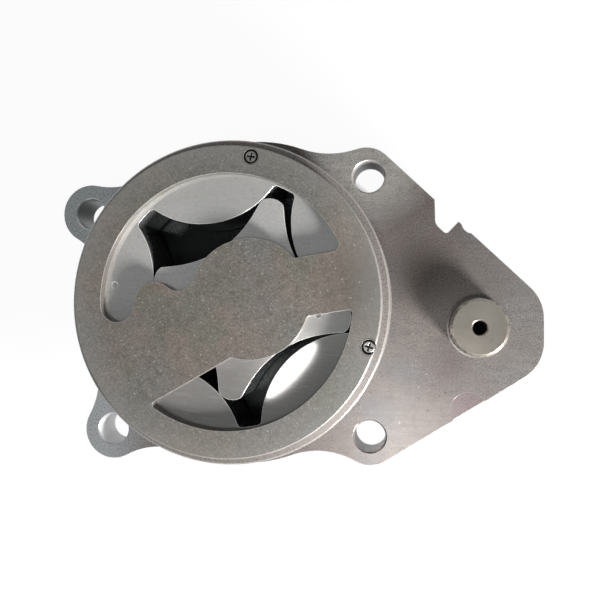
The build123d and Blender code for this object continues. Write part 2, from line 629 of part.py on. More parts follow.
def idler_pin():
    """Hollow pin in four steps: rear end, seat in the flange, idler gear's journal, lead past its groove.

    Oil enters at the rear end and leaves through a cross hole under the idler gear.
    """
    cross_z = (GEAR_FACE_Z + GEAR_TOP_Z) / 2
    lead = post((0, 0), JOURNAL_R - PIN_LEAD_STEP, SHAFT_END_Z, RING_Z)
    rear = post((0, 0), PIN_R, BOSS_Z, PIN_PROUD)
    pin = chamfer(lead.edges().group_by(Axis.Z)[0], PIN_CHAMFER)
    pin += chamfer(rear.edges().group_by(Axis.Z)[-1], PIN_CHAMFER)
    pin += post((0, 0), JOURNAL_R, RING_Z, BOSS_Z)
    pin += post((0, 0), PIN_SEAT_R, BOSS_Z, 0)
    pin -= groove((0, 0), JOURNAL_R)
    pin -= post((0, 0), PIN_OIL_HOLE_D / 2, cross_z - PIN_CROSS_HOLE_D, PIN_PROUD + PAST)
    pin -= countersink((0, 0), PIN_OIL_HOLE_D / 2, MACHINED_CHAMFER, PIN_PROUD)
    cross = Pos(0, 0, cross_z) * Rot(0, 90, 0) * extrude(Circle(PIN_CROSS_HOLE_D / 2), amount=PIN_R + PAST)
    return turned(PIN_AXIS, IDLER_ANGLE + 180.0) * (pin - cross)


def drive_washer(bottom):
    inner = SHAFT_R + RUNNING_CLEARANCE
    return ring(DRIVE_AXIS, inner, inner + WASHER_WALL, bottom, bottom + WASHER_THICKNESS)


def drive_retaining_ring():
    """Open spring ring that sits in the shaft's groove."""
    inner = SHAFT_R - GROOVE_DEPTH
    clip = Circle(inner + RING_WALL) - Circle(inner)
    reach = 2 * (inner + RING_WALL)
    gap = Polygon((0, 0), polar(reach, -RING_GAP_ANGLE / 2), polar(reach, RING_GAP_ANGLE / 2), align=None)
    return turned(DRIVE_AXIS, INNER_ROTOR_ANGLE + 180.0) * slab(clip - gap, RING_Z, RING_Z + RING_THICKNESS)


NODES = {
    "pump_housing": pump_housing,
    "port_plate": port_plate,
    "port_plate_screw_upper": lambda: port_plate_screw(SCREW_UPPER),
    "port_plate_screw_side": lambda: port_plate_screw(SCREW_SIDE),
    "outer_rotor": outer_rotor,
    "inner_rotor": inner_rotor,
    "drive_shaft": drive_shaft,
    "rotor_key": lambda: key(rotor_key_span()),
    "drive_gear_key": lambda: key(gear_key_span()),
    "drive_bush_rear": lambda: drive_bush(ROTOR_FLOOR_Z - BUSH_BELOW_FACE - BUSH_LENGTH),
    "drive_bush_front": lambda: drive_bush(BOSS_Z),
    "drive_thrust_washer": lambda: drive_washer(WASHER_Z),
    "drive_gear": drive_gear,
    "drive_gear_washer": lambda: drive_washer(OUTER_WASHER_Z),
    "drive_retaining_ring": drive_retaining_ring,
    "idler_pin": idler_pin,
}

os.makedirs("parts", exist_ok=True)
for node, build in NODES.items():
    export_step(build(), f"parts/{node}.step")
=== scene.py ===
# %% [markdown]
# # A gerotor oil pump, dressed in ground iron and steel
# The pump arrives as solids at their real size: a flange with a round spigot, a slotted plate over two
# lobed rotors, and a gear in front. Blender adds what the solids lack. That is the broken edges that catch
# the light, the grinding marks, the speckled plate and the lamps.
# The frame keeps every piece in metres, so nothing has to be fitted by hand.

import math

import bmesh
import bpy
from mathutils import Matrix, Vector

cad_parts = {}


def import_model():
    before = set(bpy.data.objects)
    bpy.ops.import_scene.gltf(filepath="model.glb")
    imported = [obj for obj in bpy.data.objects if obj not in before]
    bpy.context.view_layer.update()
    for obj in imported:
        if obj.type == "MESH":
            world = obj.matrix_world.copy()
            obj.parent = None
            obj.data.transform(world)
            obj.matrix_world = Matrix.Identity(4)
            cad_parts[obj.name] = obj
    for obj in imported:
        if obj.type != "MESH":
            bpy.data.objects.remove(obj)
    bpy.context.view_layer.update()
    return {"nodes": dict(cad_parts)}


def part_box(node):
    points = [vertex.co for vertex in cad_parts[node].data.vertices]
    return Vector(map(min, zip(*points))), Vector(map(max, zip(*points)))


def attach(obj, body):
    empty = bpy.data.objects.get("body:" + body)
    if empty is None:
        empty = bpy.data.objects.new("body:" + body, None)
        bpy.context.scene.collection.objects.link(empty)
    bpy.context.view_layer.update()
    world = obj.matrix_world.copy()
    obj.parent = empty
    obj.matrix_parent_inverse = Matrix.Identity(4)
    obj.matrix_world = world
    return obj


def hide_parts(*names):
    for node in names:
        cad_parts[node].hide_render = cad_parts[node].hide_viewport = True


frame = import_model()
MM = 0.001

# %% [markdown]
# ## Places that several pieces share
# A maker's drawing has a few datum points that everything else is measured from. Here they are read from the
# boxes of the pieces themselves, so the materials and the new pieces follow the solids if a size changes.
# Only the width of the spigot's ledge around the plate is written out.

# %% Datum points
LEDGE_WIDTH = 2.15 * MM
SCREWS = ("port_plate_screw_upper", "port_plate_screw_side")


def box_centre(node):
    low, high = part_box(node)
    return [(a + b) / 2 for a, b in zip(low, high)]


def box_radius(node):
    low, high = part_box(node)
    return (high[0] - low[0]) / 2


plate_radius = box_radius("port_plate")
plate_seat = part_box("port_plate")[0][2]
spigot_radius = plate_radius + LEDGE_WIDTH
ring_radius = box_radius("outer_rotor")
pin_radius = box_radius("idler_pin")
gear_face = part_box("drive_gear")[0][2]
pin_centre = box_centre("idler_pin")
ring_centre = box_centre("outer_rotor")
drive_centre = box_centre("drive_shaft")
print("plate radius", round(plate_radius / MM, 2), "mm, seat at", round(plate_seat / MM, 2), "mm")

# %% [markdown]
# ## Shader maths that reads as maths
# A shader is a graph of nodes, and long sums are hard to read as links. A small class wraps one socket and
# answers to +, - and *, so that a line of Python builds the Math nodes. The reflected forms of the operators
# let a plain number stand on the left, as in 1 - mask.

# %% A socket that can be added and multiplied


class Shade:
    """One output socket in a material's graph, with arithmetic."""

    def __init__(self, graph, socket):
        self.graph = graph
        self.socket = socket

    def maths(self, operation, first, second):
        return self.graph.add("ShaderNodeMath", {"operation": operation}, {0: first, 1: second})

    def __add__(self, other):
        return self.maths("ADD", self, other)

    def __radd__(self, other):
        return self.maths("ADD", other, self)

    def __sub__(self, other):
        return self.maths("SUBTRACT", self, other)

    def __rsub__(self, other):
        return self.maths("SUBTRACT", other, self)

    def __mul__(self, other):
        return self.maths("MULTIPLY", self, other)

    def __rmul__(self, other):
        return self.maths("MULTIPLY", other, self)


# %% [markdown]
# ## One way to make any other node
# Everything that is not plain arithmetic comes from one method. It takes a node's type, its settings and its
# inputs, in that order, because a setting can change which inputs a node has.

# %% The nodes of one material


class Graph:
    """The nodes of one material, ending in a Principled surface."""

    def __init__(self, name):
        self.material = bpy.data.materials.new(name)
        self.material.use_nodes = True
        self.tree = self.material.node_tree
        self.surface = self.tree.nodes["Principled BSDF"]

    def add(self, kind, settings=None, inputs=None, output=0):
        """A node of any kind: settings first, then the values or links of its sockets."""
        node = self.tree.nodes.new(kind)
        for name, value in (settings or {}).items():
            setattr(node, name, value)
        for socket, value in (inputs or {}).items():
            self.feed(node.inputs[socket], value)
        return Shade(self, node.outputs[output])

    def feed(self, socket, value):
        """Links a shade to a socket, or sets a plain value on it."""
        if isinstance(value, Shade):
            self.tree.links.new(value.socket, socket)
        else:
            socket.default_value = value

    def finish(self, **sockets):
        """Sets or links sockets of the surface, named as in the panel with _ for a space."""
        for name, value in sockets.items():
            self.feed(self.surface.inputs[name.replace("_", " ")], value)
        print(self.material.name, "nodes", len(self.tree.nodes))
        return self.material


# %% [markdown]
# ## Patterns that every metal uses
# Real metal is never one grey. It has slow drifts of tone where it was handled and oiled, a fine grain, a few
# specks, and lines from the tool that cut it. Each of these is a short function here, which reads Object
# coordinates so that the pattern stays on the metal when the pump turns. A noise hovers about 0.5, and a
# narrow span of it around that value picks out patches, while one further out picks out only rare marks.

# %% Noise, specks and bumps
SPECK_CORE = 0.4


def place(g, centre=(0.0, 0.0, 0.0), turn=0.0, stretch=(1.0, 1.0, 1.0)):
    """Object coordinates moved to a centre, turned about Z and stretched."""
    coordinates = g.add("ShaderNodeTexCoord", output="Object")
    moved = g.add("ShaderNodeVectorMath", {"operation": "SUBTRACT"}, {0: coordinates, 1: centre})
    return g.add("ShaderNodeMapping", {}, {"Vector": moved, "Rotation": (0.0, 0.0, turn), "Scale": stretch})


def noise(g, where, per_metre, detail=3.0, roughness=0.55):
    """Cloudy values about 0.5, with a number of waves to the metre."""
    inputs = {"Vector": where, "Scale": per_metre, "Detail": detail, "Roughness": roughness}
    return g.add("ShaderNodeTexNoise", {"noise_dimensions": "3D"}, inputs)


def span(g, value, low, high, to_low=0.0, to_high=1.0):
    """Stretches low..high of a value to to_low..to_high, and clamps."""
    inputs = {"Value": value, "From Min": low, "From Max": high, "To Min": to_low, "To Max": to_high}
    return g.add("ShaderNodeMapRange", {"clamp": True}, inputs)


def crests(g, pattern, low, high, share=1.0):
    """The share where a pattern is above high, and nothing where it is below low."""
    return span(g, pattern, low, high, 0.0, share)


def hollows(g, pattern, low, high, share=1.0):
    """The share where a pattern is below low, and nothing where it is above high."""
    return span(g, pattern, low, high, share, 0.0)


def specks(g, where, per_metre, size):
    """1 inside small round specks, 0 elsewhere: cells whose centre is nearer than a share of a cell."""
    cells = {"Vector": where, "Scale": per_metre, "Randomness": 1.0}
    distance = g.add("ShaderNodeTexVoronoi", {"feature": "F1"}, cells, output="Distance")
    return span(g, distance, size, size * SPECK_CORE)


def bump(g, height, distance, strength):
    return g.add("ShaderNodeBump", {}, {"Height": height, "Distance": distance, "Strength": strength})


# %% [markdown]
# ## Masks from the shape and the place
# A finish changes where the piece does: at its edges, on its walls, around a hole. These functions give a
# share from 0 to 1 for such a zone. The edge mask compares the surface's own direction with the direction
# that it would have if its edges were rounded: where they part, there is an edge.

# %% Edge, wall and zone masks
ORIGIN = (0.0, 0.0)
EDGE_SAMPLES = 6
EDGE_NONE, EDGE_FULL = 0.995, 0.93
LEVEL, WALL = 0.8, 0.3


def edge_wear_and_highlight(g, width):
    """1 along sharp outer edges, which are painted pale: partly wear from handling, partly a painted
    highlight.
    """
    bevelled = g.add("ShaderNodeBevel", {"samples": EDGE_SAMPLES}, {"Radius": width})
    normal = g.add("ShaderNodeNewGeometry", output="Normal")
    both = {0: bevelled, 1: normal}
    agree = g.add("ShaderNodeVectorMath", {"operation": "DOT_PRODUCT"}, both, output="Value")
    return span(g, agree, EDGE_NONE, EDGE_FULL)


def steepness(g):
    """0 on level faces and 1 on walls."""
    normal = g.add("ShaderNodeNewGeometry", output="Normal")
    upright = g.add("ShaderNodeSeparateXYZ", {}, {0: normal}, output="Z")
    return span(g, g.add("ShaderNodeMath", {"operation": "ABSOLUTE"}, {0: upright}), LEVEL, WALL)


def beyond(g, axis, start, end):
    """0 at start and 1 at end, in metres along one axis."""
    return span(g, g.add("ShaderNodeSeparateXYZ", {}, {0: place(g)}, output=axis), start, end)


def from_axis(g, centre):
    """Distance from an upright axis, in metres."""
    flat = place(g, centre=(centre[0], centre[1], 0.0), stretch=(1.0, 1.0, 0.0))
    return g.add("ShaderNodeVectorMath", {"operation": "LENGTH"}, {0: flat}, output="Value")


def near_point(g, centre, inner, outer):
    """1 within an inner radius of an upright axis, 0 beyond the outer one."""
    return span(g, from_axis(g, centre), outer, inner)


# %% [markdown]
# ## Colours laid in coats
# Colours are written as the eye sees them, in display values from 0 to 255. A shader wants linear light, and
# one function does the change. A finish is then built as a painter would build it: a base colour, and coats
# over it, each with the share that says where it lies and how thickly.

# %% Colours and coats
TOE, TOE_SLOPE, OFFSET, GAMMA = 0.04045, 12.92, 0.055, 2.4


def linear(display):
    """Display values from 0 to 255 as linear light from 0 to 1."""
    shares = [value / 255 for value in display]
    return tuple(s / TOE_SLOPE if s <= TOE else ((s + OFFSET) / (1 + OFFSET)) ** GAMMA for s in shares)


def mix(g, share, first, second):
    """Mixes two colours by a share from 0 to 1."""
    settings = {"data_type": "RGBA", "blend_type": "MIX", "clamp_factor": True}
    first, second = ((*colour, 1.0) if isinstance(colour, tuple) else colour for colour in (first, second))
    return g.add("ShaderNodeMix", settings, {0: share, 6: first, 7: second}, output=2)


def coats(g, base, *layers):
    """Lays each layer, a share and a colour, over what is there."""
    for share, colour in layers:
        base = mix(g, share, base, colour if isinstance(colour, Shade) else linear(colour))
    return base


# %% [markdown]
# ## The port plate's phosphated iron
# The plate is a flat disc with a brown-grey, speckled skin: a phosphate layer that holds oil, rubbed bright
# where it was handled. The skin could be one noise, but then it looks like cloud. Three scales work better: a
# slow drift of tone, a grain of about half a millimetre, and separate light and dark specks. The shift of a
# noise only picks another stretch of it, so that two patterns don't fall together.

# %% The plate's skin
OLIVE_SHIFT = (0.3, 0.1, 0.0)
FLECK_LAY = math.radians(57)
FLECK_STRETCH = (1.0, 2.6, 1.0)


def plate_skin(g):
    """Base colour with its drift, patches, grain and flecks, and the grain on its own."""
    where = place(g)
    drift = crests(g, noise(g, where, 42.0, detail=2.0), 0.38, 0.62)
    olive = noise(g, place(g, centre=OLIVE_SHIFT), 75.0, detail=2.0)
    mottle = noise(g, where, 520.0, detail=2.0, roughness=0.6)
    grain = noise(g, where, 2300.0, detail=2.0, roughness=0.8)
    slanted = place(g, turn=FLECK_LAY, stretch=FLECK_STRETCH)
    flecks = noise(g, slanted, 1150.0, detail=2.0, roughness=0.7)
    colour = coats(
        g, mix(g, drift, linear((127, 116, 108)), linear((117, 116, 114))),
        (crests(g, olive, 0.50, 0.62, 0.7), (110, 112, 102)),
        (hollows(g, mottle, 0.36, 0.50, 0.45), (98, 92, 86)),
        (hollows(g, grain, 0.34, 0.50, 0.55), (76, 71, 68)),
        (crests(g, grain, 0.54, 0.70, 0.55), (158, 153, 145)),
        (crests(g, flecks, 0.62, 0.72, 0.7), (176, 170, 158)),
    )
    return colour, grain


# %% [markdown]
# ## Wear and painted shade on the plate
# Hands and cloths leave their marks in zones. The rim is rubbed paler, and one patch is painted darker. The
# port walls at the left and the gap around each screw head are painted dark, as painted shade. Every zone is
# a coat of its own over the skin, and the rim and the gaps are measured from the plate and the screws
# themselves.

# %% Plate finish
DARK_PATCH = (37 * MM, 4 * MM)
RIM_WEAR_WIDTH = 9 * MM
GAP_START, GAP_END = 0.25 * MM, 0.7 * MM


def screw_gap_shade(g):
    """One dark coat for each screw, on the ring of plate around its head: painted shade in the gap."""
    layers = []
    for screw in SCREWS:
        head = box_radius(screw)
        gap = near_point(g, box_centre(screw), head + GAP_START, head + GAP_END)
        layers.append((gap * 0.85, (52, 49, 47)))
    return layers


def plate_finish():
    g = Graph("plate_iron")
    colour, grain = plate_skin(g)
    light = specks(g, place(g), 520.0, 0.15)
    edge = edge_wear_and_highlight(g, 0.22 * MM)
    rim = span(g, from_axis(g, ORIGIN), plate_radius - RIM_WEAR_WIDTH, plate_radius)
    left_wall_shade = steepness(g) * beyond(g, "X", 30 * MM, 10 * MM)
    colour = coats(
        g, colour,
        # A patch at the right of the plate is painted darker.
        (near_point(g, DARK_PATCH, 4 * MM, 15 * MM) * 0.6, (96, 90, 84)),
        (light * 0.45, (196, 194, 188)),
        (rim * 0.35, (152, 151, 149)),
        # Painted shade on the port walls at the left, and in the gaps around the screw heads.
        (left_wall_shade * 0.6, (84, 82, 80)),
        *screw_gap_shade(g),
        (edge * 0.85, (214, 213, 210)),
    )
    rough = span(g, grain, 0.3, 0.7, 0.36, 0.48) - edge * 0.12
    relief = bump(g, grain * 0.6 + light * 0.5, 0.02 * MM, 0.4)
    return g.finish(Base_Color=colour, Metallic=0.25, Roughness=rough, Normal=relief)


# %% [markdown]
# ## The housing's ground face
# The flange is cast, then milled and ground on its face, which leaves faint streaks in one direction over a
# drift of brown and blue greys. The ears at the left and the upper right lie far from the main lamp. Their
# iron is painted paler than the rest as painted light, or they would sink into shadow. The right end is
# painted a little paler too, as painted light, and beside the pin a brown patch is painted darker, as
# painted shade.

# %% The housing's face
UPPER_EAR = (38 * MM, 40 * MM)
PIN_SIDE_SHADE = (53 * MM, 8.5 * MM)
BLUE_SHIFT = (0.2, 0.4, 0.0)
STREAK_LAY = math.radians(38)
STREAK_STRETCH = (1.0, 9.0, 1.0)


def ground_face(g, left):
    """The flange's base colour with its drifts, painted light and shade, streaks and grain, and the grain on
    its own.
    """
    where = place(g)
    drift = crests(g, noise(g, where, 30.0, detail=2.0, roughness=0.5), 0.38, 0.64)
    blue = noise(g, place(g, centre=BLUE_SHIFT), 48.0, detail=2.0)
    streaks = noise(g, place(g, turn=STREAK_LAY, stretch=STREAK_STRETCH), 110.0, detail=3.0)
    mottle = noise(g, where, 420.0, detail=3.0, roughness=0.65)
    grain = noise(g, where, 2100.0, detail=2.0, roughness=0.8)
    colour = coats(
        g, mix(g, drift, linear((114, 106, 104)), linear((131, 124, 120))),
        (crests(g, blue, 0.52, 0.62, 0.5), (118, 120, 123)),
        # Painted shade beside the pin, in brown.
        (near_point(g, PIN_SIDE_SHADE, 3 * MM, 13 * MM) * 0.85, (88, 79, 73)),
        # Painted light on the upper right ear and on the right end.
        (near_point(g, UPPER_EAR, 9 * MM, 20 * MM) * 0.9, (184, 181, 177)),
        (beyond(g, "X", 62 * MM, 80 * MM) * 0.5, (152, 150, 147)),
        (crests(g, streaks, 0.42, 0.70, 0.30), (98, 92, 90)),
        (hollows(g, mottle, 0.36, 0.50, 0.25), (94, 87, 85)),
        (hollows(g, grain, 0.34, 0.50, 0.32), (86, 81, 79)),
        (crests(g, grain, 0.54, 0.70, 0.40), (154, 150, 147)),
        # Painted light on the left ears, palest on the upper one.
        (left * 0.8, (178, 182, 185)),
        (left * beyond(g, "Y", 0.0, 16 * MM) * 0.85, (222, 227, 229)),
    )
    return colour, grain


# %% [markdown]
# ## Chips, pits and the walls of the housing
# The casting shows small pits in its face, and bright chips in clusters where it was knocked. The side walls
# keep the skin of the casting, and the chamber behind the rotors is painted black, as painted shade. One
# material serves the whole housing: the share of a face that points up picks the ground finish or the rough
# one. The round spot face at the lower right is browner than the rest, and the pale edge on its rim is
# fainter.

# %% Housing finish
CHAMBER_MARGIN = 0.4 * MM
LOWER_EAR = (-38.2 * MM, -37.8 * MM)
SPOT_FACE = (65.7 * MM, -30.3 * MM)
LEDGE_FADE = 0.4 * MM
CHIP_SHIFT = (0.0, 0.2, 0.1)


def chips_and_pits(g, left):
    """Small bright chips in clusters, and small dark pits that the left ears don't have."""
    where = place(g)
    cluster = crests(g, noise(g, place(g, centre=CHIP_SHIFT), 70.0, detail=1.0), 0.54, 0.64)
    chips = crests(g, noise(g, where, 1300.0, detail=3.0, roughness=0.7), 0.62, 0.70) * cluster
    pitted = crests(g, noise(g, where, 45.0, detail=1.0), 0.50, 0.62) * (1.0 - left)
    return chips, specks(g, where, 420.0, 0.17) * pitted


def in_chamber(g):
    """1 on the walls and floor of the rotor chamber, 0 elsewhere."""
    inside = near_point(g, ring_centre, ring_radius + CHAMBER_MARGIN / 2, ring_radius + CHAMBER_MARGIN)
    return inside * beyond(g, "Z", plate_seat - CHAMBER_MARGIN, plate_seat - 2 * CHAMBER_MARGIN)


def housing_finish():
    g = Graph("housing_iron")
    left = beyond(g, "X", -24 * MM, -40 * MM)
    face, grain = ground_face(g, left)
    chips, pits = chips_and_pits(g, left)
    walls = steepness(g)
    cast, painted_reflection = linear((112, 110, 112)), linear((200, 200, 202))
    edge = edge_wear_and_highlight(g, 0.26 * MM)
    clear_of_spot = 1.0 - near_point(g, SPOT_FACE, 6 * MM, 7 * MM) * 0.7
    colour = coats(
        g, face,
        (chips * 0.8, (205, 205, 204)),
        (pits * 0.75, (60, 56, 54)),
        # The ledge around the plate is painted paler: a painted highlight.
        (near_point(g, ORIGIN, spigot_radius, spigot_radius + LEDGE_FADE) * 0.8, (152, 145, 141)),
        (near_point(g, SPOT_FACE, 4.9 * MM, 5.3 * MM) * 0.5, (122, 106, 110)),
        # The walls by the lower left ear's hole are painted pale: a painted reflection of the lit table.
        (walls * 0.75, mix(g, near_point(g, LOWER_EAR, 6 * MM, 12 * MM), cast, painted_reflection)),
        (edge * clear_of_spot, (215, 214, 212)),
        # Painted shade: the chamber behind the rotors is painted black.
        (in_chamber(g), (27, 30, 31)),
    )
    rough = span(g, grain, 0.3, 0.7, 0.24, 0.33) + walls * 0.15 - edge * 0.06
    relief = bump(g, grain * 0.5 + chips * 0.4 - pits, 0.02 * MM, 0.3)
    return g.finish(Base_Color=colour, Metallic=0.5, Roughness=rough, Normal=relief)


# %% [markdown]
# ## The rotors' ground steel
# The rotor faces are ground flat on a surface grinder, which leaves straight fine scratches in one direction
# on each piece. Stretched noise gives them: a pattern that is long one way and short the other. The two
# rotors turn against each other, so each gets its own direction. Their walls are painted almost black, as
# painted shade. The half that lies towards the main lamp at rest is painted darker as painted shade, so that
# it doesn't wash out, and it turns with the rotor.

# %% Rotor finish
RING_LAY, ROTOR_LAY = -38.0, 52.0
CROSS_LAY = 64.0
LIGHT_STEEL, DARK_STEEL = (242, 240, 238), (230, 228, 226)


def rotor_finish(name, lay, tone, rough):
    """Ground steel with scratches at an angle in degrees, its base colour times a tone."""
    g = Graph(name)
    where = place(g)
    along = place(g, turn=math.radians(lay), stretch=(1.0, 16.0, 1.0))
    across = place(g, turn=math.radians(lay + CROSS_LAY), stretch=(1.0, 12.0, 1.0))
    scratches = noise(g, along, 210.0, detail=4.0, roughness=0.7)
    cross_scratches = noise(g, across, 160.0, detail=3.0, roughness=0.7)
    drift = crests(g, noise(g, where, 45.0, detail=2.0), 0.35, 0.65)
    grain = noise(g, where, 2200.0, detail=2.0, roughness=0.8)
    light, dark = (tuple(value * tone for value in linear(steel)) for steel in (LIGHT_STEEL, DARK_STEEL))
    edge = edge_wear_and_highlight(g, 0.30 * MM)
    colour = coats(
        g, mix(g, drift, light, dark),
        # Painted shade on the half towards the main lamp.
        (beyond(g, "Y", 2 * MM, -20 * MM) * 0.95, (172, 168, 166)),
        (crests(g, scratches, 0.56, 0.74, 0.45), (244, 243, 241)),
        (hollows(g, scratches, 0.28, 0.44, 0.45), (184, 183, 182)),
        (crests(g, cross_scratches, 0.58, 0.74, 0.30), (242, 241, 240)),
        (hollows(g, grain, 0.34, 0.50, 0.35), (180, 179, 178)),
        # Painted shade on the walls.
        (steepness(g) * 0.85, (40, 43, 44)),
        (edge, (252, 252, 250)),
    )
    # The pale edges, partly wear and partly a painted highlight, are also less metallic and rougher.
    metal, rough = 0.65 - edge * 0.5, edge * 0.3 + rough
    relief = bump(g, scratches * 0.7 + grain * 0.3, 0.004 * MM, 0.12)
    return g.finish(Base_Color=colour, Metallic=metal, Roughness=rough, Normal=relief)


# %% [markdown]
# ## Turned and ground round pieces
# The shaft, pin and washers are round, and their tool marks run round them. On the end face the lathe leaves
# rings. A wave texture in ring form follows the distance from the axis and gives both: rings on the face, and
# bands along the side. A screw's recess is painted dark a little below the head's face, as painted shade, and
# the pin's rim carries dark flecks of old oil.

# %% Turned steel finish
RINGS_PER_METRE = 2600.0
RECESS_SHADE_DEPTH = 0.3 * MM
FLECK_BAND = 1.0 * MM


def rim_flecks(g, centre, rim):
    """Dark flecks on a narrow band inside a rim."""
    band = near_point(g, centre, rim, rim + FLECK_BAND / 2) - near_point(g, centre, rim - FLECK_BAND, rim)
    flecks = crests(g, noise(g, place(g), 900.0, detail=3.0, roughness=0.7), 0.52, 0.60)
    return band * flecks * 0.8, (70, 66, 61)


def turned_finish(name, centre, colours, rough=(0.30, 0.44), edge_share=1.0, rim=None, shade_below=None):
    """Turned metal around an axis, in three colours: two that drift, and the crests of the rings."""
    g = Graph(name)
    where = place(g, centre=tuple(centre))
    wave = {"Vector": where, "Scale": RINGS_PER_METRE, "Distortion": 1.2, "Detail": 2.0}
    rings = g.add("ShaderNodeTexWave", {"wave_type": "RINGS", "rings_direction": "Z"}, wave)
    drift = crests(g, noise(g, where, 120.0, detail=2.0), 0.35, 0.65)
    grain = noise(g, where, 1500.0, detail=3.0)
    pits = specks(g, where, 480.0, 0.14) * crests(g, noise(g, where, 160.0, detail=1.0), 0.50, 0.62)
    edge = edge_wear_and_highlight(g, 0.35 * MM)
    layers = [(rings * 0.16, colours[2]), (pits * 0.7, (74, 70, 66))]
    if shade_below:
        # Painted shade in the recess, below the face of the head.
        recess_shade = beyond(g, "Z", shade_below, shade_below - RECESS_SHADE_DEPTH)
        layers.append((recess_shade, (58, 56, 54)))
        edge = edge * (1.0 - recess_shade)
    if rim:
        layers.append(rim_flecks(g, centre, rim))
    base = mix(g, drift, linear(colours[0]), linear(colours[1]))
    colour = coats(g, base, *layers, (edge * edge_share, (228, 226, 222)))
    roughness = span(g, grain, 0.3, 0.7, *rough) - edge * 0.08
    relief = bump(g, rings * 0.4 + grain * 0.4 - pits, 0.02 * MM, 0.35)
    return g.finish(Base_Color=colour, Metallic=0.9, Roughness=roughness, Normal=relief)


# %% [markdown]
# ## Broken edges
# Every machined edge on a real part is broken: a hair of chamfer catches the light and draws the bright line
# that separates one piece from the next. The solids have sharp edges there. A copy of each mesh is merged,
# and its sharp edges get a small bevel with the bevel operator.

# %% A mesh with broken edges
MERGE_DISTANCE = 0.002 * MM
FLAT = math.radians(0.5)
SHARP = math.radians(28)


def smooth_mesh(form, name):
    """Turns a bmesh into a smooth-shaded mesh."""
    for face in form.faces:
        face.smooth = True
    mesh = bpy.data.meshes.new(name)
    form.to_mesh(mesh)
    form.free()
    return mesh


def folds(form):
    """Each edge between two faces, with the angle at which they meet."""
    return [(edge, edge.calc_face_angle(0)) for edge in form.edges if len(edge.link_faces) == 2]


def broken_mesh(node, width, segments):
    """A merged copy of a node's mesh with its sharp edges bevelled."""
    form = bmesh.new()
    form.from_mesh(frame["nodes"][node].data)
    bmesh.ops.remove_doubles(form, verts=form.verts, dist=MERGE_DISTANCE)
    flat = [edge for edge, angle in folds(form) if angle < FLAT]
    bmesh.ops.dissolve_edges(form, edges=flat, use_verts=False, use_face_split=False)
    sharp = [edge for edge, angle in folds(form) if angle > SHARP]
    bmesh.ops.bevel(
        form, geom=sharp, offset=width, offset_type="OFFSET", affect="EDGES", segments=segments,
        profile=0.5, material=-1, clamp_overlap=True,
    )
    return smooth_mesh(form, f"{node}_finished")


# %% [markdown]
# ## A finished copy in a solid's place
# A smooth-shaded bevel bends the shading of the flat face beside it, which then looks like a cushion. Cutting
# each bevel finer would help, but costs faces. A Weighted Normal modifier lets the large faces keep their own
# direction instead. Then the copy rides the solid's body and stands for it.

# %% Dress one solid
CREASE = math.radians(50)
EDGE_WIDTH = 0.12 * MM
FLAT_WEIGHT = 50


def in_scene(name, data):
    """An object in the scene that shows a mesh, a lamp or a camera."""
    piece = bpy.data.objects.new(name, data)
    bpy.context.scene.collection.objects.link(piece)
    return piece


def dress(node, body, material, width=EDGE_WIDTH, segments=2):
    """Puts a finished copy in the place of a solid."""
    mesh = broken_mesh(node, width, segments)
    mesh.set_sharp_from_angle(angle=CREASE)
    mesh.materials.append(material)
    piece = in_scene(f"{node}_finished", mesh)
    weighted = piece.modifiers.new("flats", "WEIGHTED_NORMAL")
    weighted.mode = "FACE_AREA"
    weighted.weight = FLAT_WEIGHT
    weighted.keep_sharp = True
    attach(piece, body)
    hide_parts(node)
    print(node, "faces", len(mesh.polygons))


# %% [markdown]
# ## Iron and rotors
# Each piece now gets its finish, and the width of its broken edge. The inner rotor's edge is broken more
# heavily than that of the ring around it, which gives its lobes a broad light rim.

# %% Dress the iron and the rotors
dress("port_plate", "housing", plate_finish(), 0.15 * MM)
dress("pump_housing", "housing", housing_finish(), 0.2 * MM)
ring_steel = rotor_finish("outer_ring_steel", RING_LAY, 1.0, 0.05)
dress("outer_rotor", "outer_ring", ring_steel, 0.32 * MM)
inner_steel = rotor_finish("inner_rotor_steel", ROTOR_LAY, 1.12, 0.10)
dress("inner_rotor", "drive", inner_steel, 0.48 * MM, 3)

# %% [markdown]
# ## Steel, bronze and spring pieces
# One function serves all round pieces, with three display colours for each metal. The shaft and its keys
# share one material, and so do the two bushes and the two washers. Old oil dulls the edge of the pin, so its
# pale edge, which is partly wear and partly a painted highlight, is laid on more thinly than on the others.

# %% Dress the round pieces
PIN_COLOURS = ((150, 144, 135), (140, 134, 126), (170, 165, 157))
STEEL_COLOURS = ((172, 171, 168), (156, 155, 153), (200, 199, 196))
BRONZE_COLOURS = ((176, 146, 96), (158, 128, 80), (200, 172, 120))
SPRING_COLOURS = ((76, 76, 80), (60, 60, 64), (104, 104, 108))
PIN_RIM_INSET = 0.5 * MM

pin_rim = pin_radius - PIN_RIM_INSET
pin_steel = turned_finish("pin_steel", pin_centre, PIN_COLOURS, edge_share=0.35, rim=pin_rim)
dress("idler_pin", "housing", pin_steel, 0.15 * MM)
shaft_steel = turned_finish("shaft_steel", drive_centre, STEEL_COLOURS)
for node in ("drive_shaft", "rotor_key", "drive_gear_key"):
    dress(node, "drive", shaft_steel)
bronze = turned_finish("bronze", drive_centre, BRONZE_COLOURS)
for node in ("drive_bush_rear", "drive_bush_front"):
    dress(node, "housing", bronze)
washer_steel = turned_finish("washer_steel", drive_centre, STEEL_COLOURS, rough=(0.26, 0.38))
dress("drive_thrust_washer", "housing", washer_steel)
dress("drive_gear_washer", "drive", washer_steel)
dress("drive_gear", "drive", turned_finish("gear_steel", drive_centre, STEEL_COLOURS))
spring_steel = turned_finish("spring_steel", drive_centre, SPRING_COLOURS)
dress("drive_retaining_ring", "drive", spring_steel)

